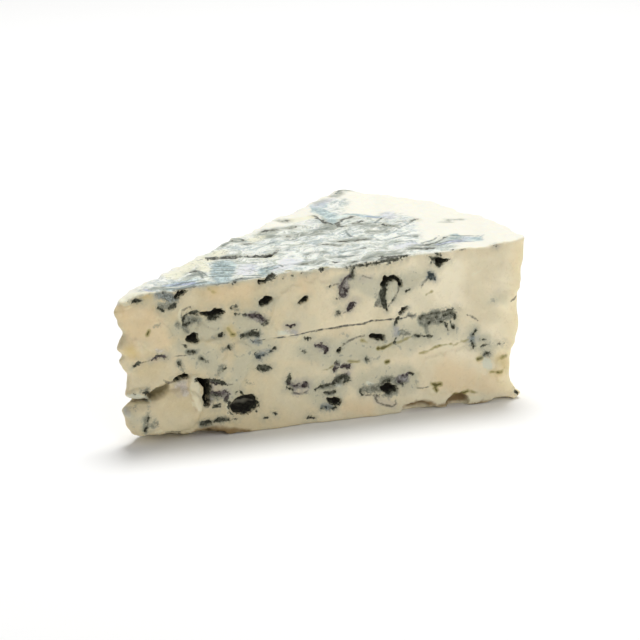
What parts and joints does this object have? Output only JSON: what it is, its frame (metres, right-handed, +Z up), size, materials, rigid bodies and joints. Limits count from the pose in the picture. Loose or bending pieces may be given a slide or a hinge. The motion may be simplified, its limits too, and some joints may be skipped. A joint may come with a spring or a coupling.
{
  "type": "blue cheese wedge",
  "caption": "Cut wedge of blue-veined cheese with two cut faces, a bulging rind side, a crumbling tip and a flat base to rest on.",
  "frame": {"origin": "middle of the bounding box's base, on the surface that the wedge rests on", "axes": "+Z up, +X from the tip to the rind along the middle of the wedge, the two cut faces on the -Y and +Y sides"},
  "size_m": [0.1276, 0.0806, 0.0474],
  "materials": {
    "cheese_paste": "moist ivory paste with blue-grey mould in pockets and veins, a faint soft sheen"
  },
  "bodies": {
    "root": {"cheese_wedge": "cheese_paste"}
  },
  "joints": []
}
